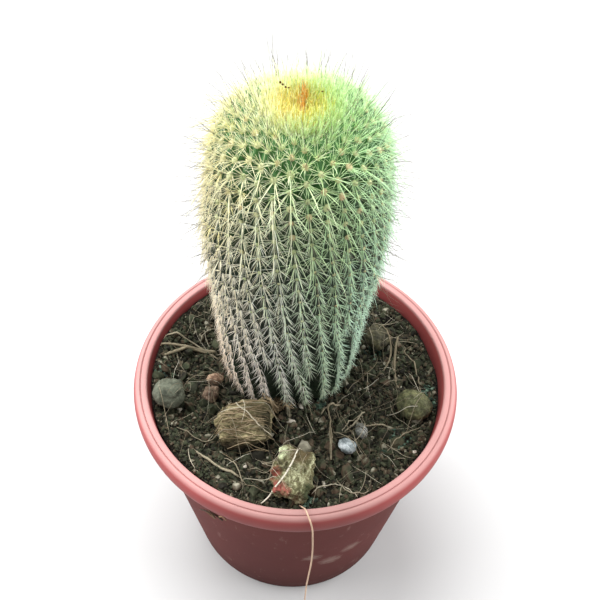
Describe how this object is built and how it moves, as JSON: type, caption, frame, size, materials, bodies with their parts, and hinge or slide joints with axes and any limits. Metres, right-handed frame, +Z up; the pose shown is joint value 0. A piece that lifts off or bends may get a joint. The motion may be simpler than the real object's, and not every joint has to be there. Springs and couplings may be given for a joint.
{
  "type": "potted lemon ball cactus",
  "caption": "Columnar ribbed cactus with pale needles and a yellow crown, in a round plastic nursery pot of gritty mix.",
  "frame": {"origin": "centre of the pot's foot, on the surface that it stands on", "axes": "+Z up along the pot's axis, -Y towards the viewer of the picture, +X to the viewer's right"},
  "size_m": [0.086, 0.086, 0.1616],
  "materials": {
    "pot_plastic": "satin",
    "gritty_mix": "matte",
    "cactus_skin": "matte",
    "spine": "satin",
    "crown_bristle": "satin",
    "husk": "matte",
    "bark": "matte",
    "pebble": "matte",
    "dry_stalk": "matte"
  },
  "bodies": {
    "root": {"pot": "pot_plastic", "soil": "gritty_mix", "cactus": "cactus_skin", "crown": "crown_bristle", "husk_chunk": "husk", "bark_chunk": "bark", "pebble_grey": "pebble", "pebble_pale": "pebble", "pebble_chip": "pebble", "pebble_brown": "pebble", "pebble_tan": "pebble", "pebble_back": "pebble", "clod_right": "gritty_mix", "clod_back": "gritty_mix", "straw_front": "dry_stalk", "straw_left": "dry_stalk", "straw_right": "dry_stalk", "straw_back": "dry_stalk", "straw_stem": "dry_stalk"}
  },
  "joints": []
}
